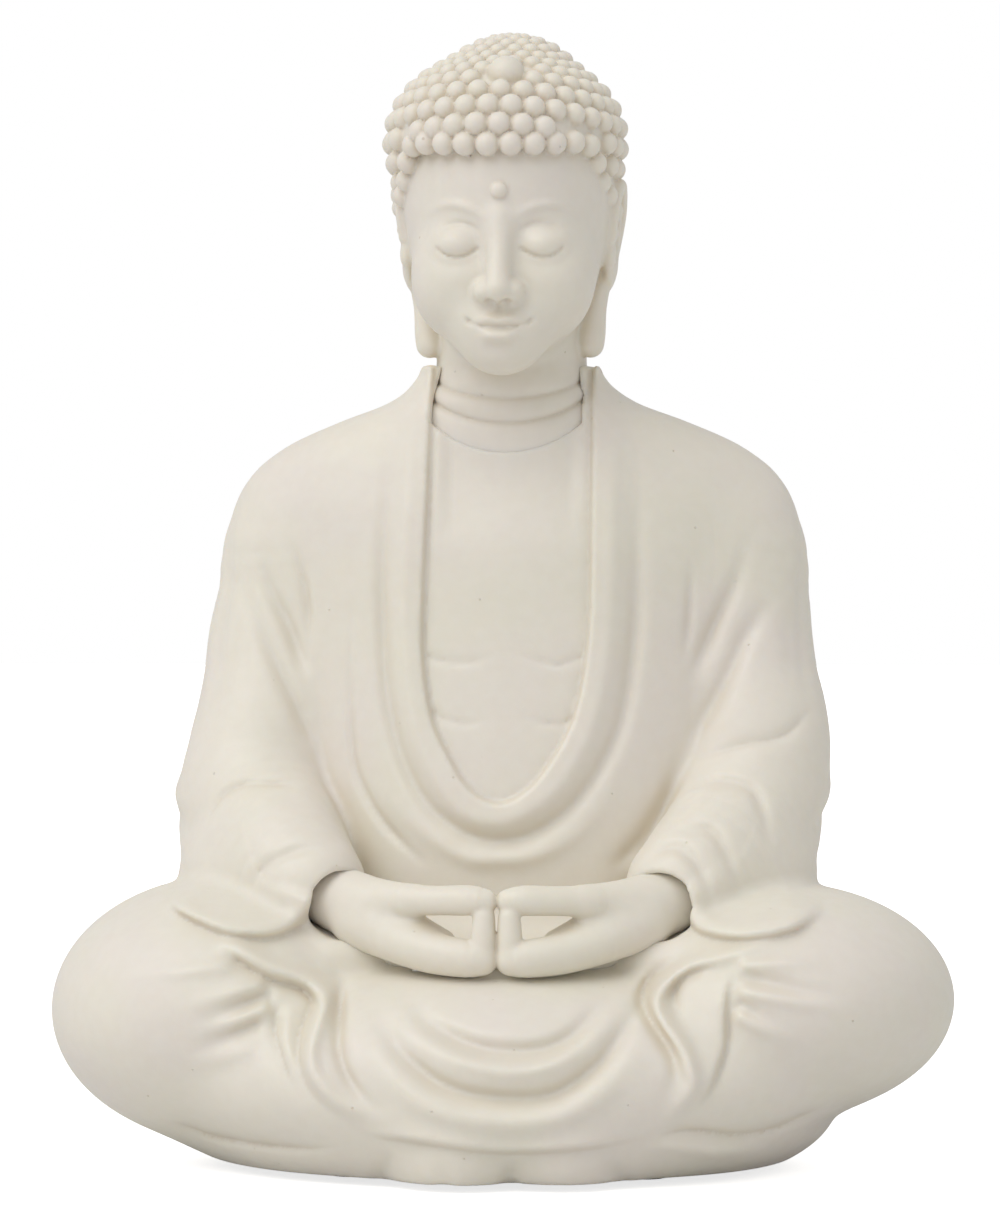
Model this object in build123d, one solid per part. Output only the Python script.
"""A seated meditating figure: a hollow casting with a separate head and hands, closed by a screwed base board.

Millimetres. +Z is up, the figure faces -Y, and the origin is on the floor under the middle of the figure.
Each function below makes one physical piece, and the last block writes each piece to parts/NODE.step.
"""

from build123d import *
import math
import os

# Driving dimensions
HEIGHT = 300.0  # floor to the top of the hair
HALF_SPAN = 118.0  # middle to the outside of a knee
HALF_DEPTH = 74.0  # middle to the front of the lap, and to the back of the seat
WALL = 7.0  # thickness of the casting's wall
FOOT_GAP = 2.0  # floor to the casting's rim

# Base board, gasket, pads, screws and plug
BOARD_HALF = (60.0, 50.0)  # half axes of the oval board
OPENING_HALF = (46.0, 36.0)  # half axes of the opening that the board covers
BASE_Y = 2.0  # middle of the base
BOARD_THICK = 4.5
GASKET_THICK = 1.5
BOARD_BOTTOM = FOOT_GAP + 0.5
BOARD_TOP = BOARD_BOTTOM + BOARD_THICK
LEDGE_Z = BOARD_TOP + GASKET_THICK  # the ledge that the gasket presses on
FLANGE_TOP = LEDGE_Z + 10.0
SLIP = 0.2  # gap round a piece that drops into a pocket
SCREW_RING = (53.0, 43.0)  # half axes of the oval that the screws stand on
SCREW_PLACES = [
    (SCREW_RING[0], BASE_Y),
    (-SCREW_RING[0], BASE_Y),
    (0.0, BASE_Y + SCREW_RING[1]),
    (0.0, BASE_Y - SCREW_RING[1]),
]
SCREW_R = 1.6
SCREW_HEAD_R = 3.2
SCREW_LONG = 14.0
SCREW_HOLE_R = SCREW_R + 0.05
PAD_PLACES = [(x, BASE_Y + y) for x in (38.0, -38.0) for y in (30.0, -30.0)]
PAD_R = 6.0
PAD_EDGE = 0.6
PLUG_R = 11.0
PLUG_HEAD_R = 14.0
PLUG_HEAD_THICK = 1.4
PLUG_SLIP = 0.06  # running gap round the plug
PLUG_END_Z = BOARD_TOP + 3.0
SAND_TOP = 40.0
SAND_GAP = 0.4

# Dowels that key the head and the hands to the body
NECK_Y = 20.0
NECK_DOWEL_R = 3.0
NECK_DOWEL_SPAN = (184.0, 220.0)
HAND_DOWEL_R = 1.5
HAND_DOWEL_SPAN = (49.6, 60.0)
HAND_DOWEL_PLACE = (20.0, -38.0)
DOWEL_SLIP = 0.05

# Masses that the skins are wrapped round: (centre, half axes), the +X one of a pair
PELVIS = (80, 56, 38)
KNEE = (46, 50, 27)
SHINS = (86, 50, 30)
SEAT_MASSES = [
    ((0, HALF_DEPTH - PELVIS[1], 36), PELVIS),
    ((HALF_SPAN - KNEE[0], -6, 40), KNEE),
    ((KNEE[0] - HALF_SPAN, -6, 40), KNEE),
    ((0, SHINS[1] - HALF_DEPTH, 26), SHINS),  # robe across the crossed shins
    ((0, BASE_Y, 4), (76, 57, 34)),  # foot of the figure
    ((4, -34, 8), (30, 38, 20)),  # folds of the robe that spread on the floor in front
]
HEAD_MIDDLE_Y = 10.0
CROWN_Y = 20.0
HEAD_MASSES = [
    ((0, 15, 257), (31.5, 38, 30.5)),  # skull with the hair
    ((-1, 15.5, 272), (32.5, 38, 25.2)),  # broad top of the hair
    ((0, CROWN_Y, 286), (19.6, 20.6, 14.2)),  # rise on the crown
    ((0, 2, 238), (26, 27, 29)),  # face
    ((0, -25, 238), (4, 6, 10)),  # nose
    ((0, NECK_Y, 205), (20, 19, 50)),  # neck
]
SEAT_BLEND = 10.0
HEAD_BLEND = 4.0
SEAT_LEVELS = [FOOT_GAP, 5, 8, 12, 16, 20, 25, 30, 35, 40, 45, 50, 55, 59, 62.5, 65.5, 68, 70, 72]
HEAD_LEVELS = [196, 204, 208, 211, 214, 218, 223, 230, 238, 246, 254, 262, 270, 277, 283, 288, 292, 295.5, 298]
HEAD_LEVELS += [299.4, HEIGHT]
OUTLINE_POINTS = 40

# Torso with the robe over both shoulders: height, half width, half depth, middle in Y
TORSO = [
    (20.0, 62.0, 44.0, 24.0),
    (60.0, 60.0, 41.0, 26.0),
    (95.0, 60.0, 39.0, 28.0),
    (135.0, 67.0, 39.0, 29.0),
    (160.0, 72.0, 37.0, 29.0),
    (174.0, 73.0, 34.0, 28.5),
    (181.0, 70.5, 32.0, 28.0),
    (186.0, 66.0, 30.0, 27.5),
    (191.5, 57.0, 28.0, 26.5),
    (197.0, 44.5, 26.0, 25.0),
    (202.0, 32.0, 24.0, 23.5),
    (207.0, 26.0, 22.5, 22.0),
]
CAVITY_TORSO_TOP = 161.0

# Arms as (x, y, z, radius) along the bone, the +X one of a pair
UPPER_ARM = [
    (52, 27, 172, 11),
    (60, 27, 163, 17),
    (61.5, 25, 140, 19.6),
    (64.5, 19, 117, 20.5),
    (66, 13, 97, 20.6),
]
FOREARM = [(66, 13, 97, 20.2), (61, 2, 89, 19.2), (54, -12, 81, 17), (46, -22, 75, 14)]


def mass_distance(x, y, z, mass, inset):
    """Near enough the distance from a point to the skin of one mass, less than 0 inside."""
    (cx, cy, cz), half_axes = mass
    a, b, c = (half - inset for half in half_axes)
    dx, dy, dz = x - cx, y - cy, z - cz
    first = math.hypot(dx / a, dy / b, dz / c)
    second = math.hypot(dx / a**2, dy / b**2, dz / c**2)
    return first * (first - 1.0) / second if second else -min(a, b, c)


def blended_distance(x, y, z, masses, blend, inset):
    """Distance to all the masses as one skin, with each meeting rounded over about blend millimetres."""
    total = sum(math.exp(-mass_distance(x, y, z, mass, inset) / (blend / 3.0)) for mass in masses)
    return -(blend / 3.0) * math.log(max(total, 1e-300))


def outline(level, middle_y, masses, blend, inset=0.0):
    """The closed curve where the skin meets the level, as a smooth loop round the middle."""
    points = []
    for i in range(OUTLINE_POINTS):
        angle = 2 * math.pi * i / OUTLINE_POINTS
        inner, outer = 0.0, 1.5 * HALF_SPAN
        for _ in range(30):
            middle = (inner + outer) / 2
            x, y = middle * math.cos(angle), middle_y + middle * math.sin(angle)
            if blended_distance(x, y, level, masses, blend, inset) < 0:
                inner = middle
            else:
                outer = middle
        points.append((inner * math.cos(angle), middle_y + inner * math.sin(angle), level))
    return make_face(Spline(*points, periodic=True))


def between(p, q, r, s, t):
    """The value a share t of the way from q to r, on a smooth curve through p, q, r and s."""
    square = 2 * p - 5 * q + 4 * r - s
    cube = 3 * q - p - 3 * r + s
    return 0.5 * (2 * q + (r - p) * t + square * t**2 + cube * t**3)


def eased(stations, steps=3):
    """The stations with more between them, on a smooth curve through them all."""
    ends = [stations[0]] + stations + [stations[-1]]
    made = []
    for around in zip(ends, ends[1:], ends[2:], ends[3:]):
        for step in range(steps):
            made.append(tuple(between(*values, step / steps) for values in zip(*around)))
    return made + [stations[-1]]


def joined(pieces):
    """All pieces fused into one."""
    whole = pieces[0]
    for piece in pieces[1:]:
        whole = whole + piece
    return whole


def oval_disc(half_axes, low, high):
    """A flat oval plate between two heights, centred on the base."""
    return Pos(0, BASE_Y, low) * extrude(Ellipse(*half_axes), amount=high - low)


def peg(radius, place, low, high):
    """An upright round bar between two heights."""
    x, y = place
    return Pos(x, y, (low + high) / 2) * Cylinder(radius, high - low)


def slab(low, high):
    """All the space between two heights."""
    reach = 4 * HALF_SPAN
    return Pos(0, 0, (low + high) / 2) * Box(reach, reach, high - low)


def torso(inset, top):
    """The torso as one smooth skin through oval sections, made smaller by inset all round."""
    sections = [
        Pos(0, y, z) * Ellipse(half_width - inset, half_depth - inset)
        for z, half_width, half_depth, y in eased(TORSO)
        if z <= top
    ]
    return loft(sections, ruled=True)


def seat(inset, levels):
    """Pelvis, knees and the robe across the crossed shins, made smaller by inset all round."""
    sections = [outline(level, BASE_Y, SEAT_MASSES, SEAT_BLEND, inset) for level in levels]
    return loft(sections, ruled=True)


def limb(stations):
    """A tapered round limb through (x, y, z, radius) stations, each disc square to the limb's run."""
    start, end = Vector(*stations[0][:3]), Vector(*stations[-1][:3])
    run = (end - start).normalized()
    discs = [Plane(origin=(x, y, z), z_dir=run) * Circle(r) for x, y, z, r in eased(stations, 2)]
    return loft(discs, ruled=True)


def arms():
    """Sleeved upper arms, elbows and forearms."""
    made = []
    for side in (1, -1):
        upper = [(side * x, y, z, r) for x, y, z, r in UPPER_ARM]
        fore = [(side * x, y, z, r) for x, y, z, r in FOREARM]
        x, y, z, r = upper[-1]
        made += [limb(upper), limb(fore), Pos(x, y, z) * Sphere(r + 0.2)]
    return made


def collar():
    """The rolled edge of the robe, hanging in a U from the neck over the chest and belly."""
    path = Spline(
        (-27, 4, 203),
        (-27, -9, 160),
        (-25, -12, 125),
        (0, -13.5, 92),
        (25, -12, 125),
        (27, -9, 160),
        (27, 4, 203),
    )
    roll = Plane(origin=path @ 0, z_dir=path % 0) * Circle(4.2)
    return sweep(roll, path)


def cavity(gap):
    """The hollow inside the casting, down to the flange, and the opening through the flange."""
    inset = WALL + gap
    levels = [FLANGE_TOP + gap, 25, 32, 39, 45, 50, 54, 57, 60]
    opening_half = tuple(half - gap for half in OPENING_HALF)
    hollow = seat(inset, levels) + (torso(inset + 1, CAVITY_TORSO_TOP) & slab(levels[0], HEIGHT))
    return hollow + oval_disc(opening_half, LEDGE_Z - 1, FLANGE_TOP + 8)


def bar_along_x(stations):
    """A soft bar through (x, y, z, half depth, half height) stations, with upright oval sections."""
    sections = [
        Plane(origin=(x, y, z), x_dir=(0, 1, 0), z_dir=(1, 0, 0)) * Ellipse(deep, high)
        for x, y, z, deep, high in eased(stations)
    ]
    return loft(sections, ruled=True)


def mirrored_stations(half):
    """Stations for the whole width, from those at x = 0 and on the +X side."""
    return [(-x, *rest) for x, *rest in reversed(half[1:])] + half


def hands():
    """Both hands in one casting: palms laid inwards on the lap, index fingers upright, thumbs level."""
    palms = bar_along_x(
        mirrored_stations(
            [
                (0, -38, 59, 12, 5.5),
                (15, -38, 60.5, 14, 6.5),
                (30, -34, 66, 14, 8),
                (42, -28, 70.5, 11, 8),
                (50, -24, 72, 8, 6),
            ]
        )
    )
    thumbs = bar_along_x(
        mirrored_stations(
            [
                (0, -46, 71.5, 3.6, 3.4),
                (12, -45, 72, 4.6, 4.2),
                (28, -40, 73.5, 5.5, 4.6),
                (40, -33, 74, 5, 4),
            ]
        )
    )
    fingers = []
    for side in (1, -1):
        knuckle = Pos(side * 3.3, -48.5, 56) * extrude(Ellipse(3.1, 4.2), amount=14)
        fingers.append(knuckle)
    return joined([palms, thumbs] + fingers)


def head():
    """Head, neck and the stub that drops into the collar."""
    sections = []
    for level in HEAD_LEVELS:
        rise = min(max((level - 270.0) / 25.0, 0.0), 1.0)
        middle_y = HEAD_MIDDLE_Y + rise * (CROWN_Y - HEAD_MIDDLE_Y)
        sections.append(outline(level, middle_y, HEAD_MASSES, HEAD_BLEND))
    skin = loft(sections, ruled=True)
    ears = []
    for side in (1, -1):
        profile = Plane(origin=(side * 28.5, 14, 236), x_dir=(0, 1, 0), z_dir=(1, 0.12 * side, 0))
        ears.append(extrude(profile * Ellipse(8, 23.5), amount=2.6, both=True))
    stub = peg(14.0, (0, NECK_Y), 189.0, 200.0)
    return joined([skin, stub] + ears)


def body(head_casting, hands_casting):
    """The robed body: one hollow casting with a ledge for the board and seats for the head and hands."""
    solid = joined([torso(0, HEIGHT), seat(0, SEAT_LEVELS)] + arms() + [collar()])
    solid = solid - cavity(0)
    solid = solid - oval_disc(tuple(h + SLIP for h in BOARD_HALF), 0, LEDGE_Z)
    for place in SCREW_PLACES:
        solid = solid - peg(SCREW_HOLE_R, place, LEDGE_Z - 1, FLANGE_TOP)
    x, y = HAND_DOWEL_PLACE
    for place in ((x, y), (-x, y)):
        solid = solid - peg(HAND_DOWEL_R + DOWEL_SLIP, place, HAND_DOWEL_SPAN[0], HAND_DOWEL_SPAN[1] + 20)
    solid = solid - peg(NECK_DOWEL_R + DOWEL_SLIP, (0, NECK_Y), NECK_DOWEL_SPAN[0], HEIGHT)
    return solid - head_casting - hands_casting


def base_board():
    """The oval board that closes the casting, with a filler hole and four screw holes."""
    board = oval_disc(BOARD_HALF, BOARD_BOTTOM, BOARD_TOP)
    board = board - peg(PLUG_R, (0, BASE_Y), 0, LEDGE_Z)
    sink_depth = SCREW_HEAD_R - SCREW_R
    for x, y in SCREW_PLACES:
        board = board - peg(SCREW_HOLE_R, (x, y), 0, LEDGE_Z)
        sink = Cone(SCREW_HEAD_R + SLIP, SCREW_R + SLIP, sink_depth)
        board = board - Pos(x, y, BOARD_BOTTOM + sink_depth / 2) * sink
    return board


def gasket():
    """The oval ring that keeps the sand in."""
    ring = oval_disc(BOARD_HALF, BOARD_TOP, LEDGE_Z) - oval_disc(OPENING_HALF, 0, LEDGE_Z + 1)
    for place in SCREW_PLACES:
        ring = ring - peg(SCREW_HOLE_R, place, 0, LEDGE_Z + 1)
    return ring


def screws():
    """Four countersunk screws, each with a cross slot."""
    head_deep = SCREW_HEAD_R - SCREW_R
    made = []
    for x, y in SCREW_PLACES:
        shank = peg(SCREW_R, (x, y), BOARD_BOTTOM + head_deep, BOARD_BOTTOM + SCREW_LONG)
        head_cone = Pos(x, y, BOARD_BOTTOM + head_deep / 2) * Cone(SCREW_HEAD_R, SCREW_R, head_deep)
        slot = Box(4.0, 0.7, 1.6) + Box(0.7, 4.0, 1.6)
        made.append(shank + head_cone - Pos(x, y, BOARD_BOTTOM) * slot)
    return made


def pads():
    """Four round pads that the figure stands on."""
    made = []
    for place in PAD_PLACES:
        pad = peg(PAD_R, place, 0, BOARD_BOTTOM)
        made.append(fillet(pad.edges().group_by(Axis.Z)[0], PAD_EDGE))
    return made


def plug():
    """The soft plug in the filler hole, with a flat head and a finger notch."""
    stem = peg(PLUG_R - PLUG_SLIP, (0, BASE_Y), BOARD_BOTTOM, PLUG_END_Z)
    stem = chamfer(stem.edges().group_by(Axis.Z)[-1], 1.0)
    head_disc = peg(PLUG_HEAD_R, (0, BASE_Y), BOARD_BOTTOM - PLUG_HEAD_THICK, BOARD_BOTTOM)
    hollow = peg(PLUG_R - 2.5, (0, BASE_Y), BOARD_TOP - 1.5, PLUG_END_Z + 1)
    notch = Pos(0, BASE_Y, BOARD_BOTTOM - PLUG_HEAD_THICK) * Box(12.0, 2.0, 1.6)
    return stem + head_disc - hollow - notch


def sand():
    """The dry sand that weights the figure, level on top, round the plug and the screw tips."""
    fill = cavity(SAND_GAP) & slab(BOARD_TOP + SAND_GAP, SAND_TOP)
    return fill - peg(PLUG_R + SAND_GAP, (0, BASE_Y), 0, PLUG_END_Z + SAND_GAP)


def main():
    head_casting = head()
    hands_casting = hands()
    body_casting = body(head_casting, hands_casting)
    neck_dowel = peg(NECK_DOWEL_R, (0, NECK_Y), *NECK_DOWEL_SPAN)
    head_casting = head_casting - peg(
        NECK_DOWEL_R + DOWEL_SLIP, (0, NECK_Y), NECK_DOWEL_SPAN[0], NECK_DOWEL_SPAN[1]
    )
    x, y = HAND_DOWEL_PLACE
    hand_dowels = [peg(HAND_DOWEL_R, (side * x, y), *HAND_DOWEL_SPAN) for side in (1, -1)]
    for side in (1, -1):
        hands_casting = hands_casting - peg(
            HAND_DOWEL_R + DOWEL_SLIP, (side * x, y), HAND_DOWEL_SPAN[0], HAND_DOWEL_SPAN[1]
        )
    nodes = {
        "body_casting": [body_casting],
        "head_casting": [head_casting],
        "hands_casting": [hands_casting],
        "neck_dowel": [neck_dowel],
        "hand_dowels": hand_dowels,
        "base_board": [base_board()],
        "base_gasket": [gasket()],
        "base_screws": screws(),
        "foot_pads": pads(),
        "filler_plug": [plug()],
        "sand_fill": [sand()],
    }
    os.makedirs("parts", exist_ok=True)
    for name, shapes in nodes.items():
        solids = [solid for shape in shapes for solid in shape.solids()]
        export_step(Compound(children=solids), f"parts/{name}.step")


main()
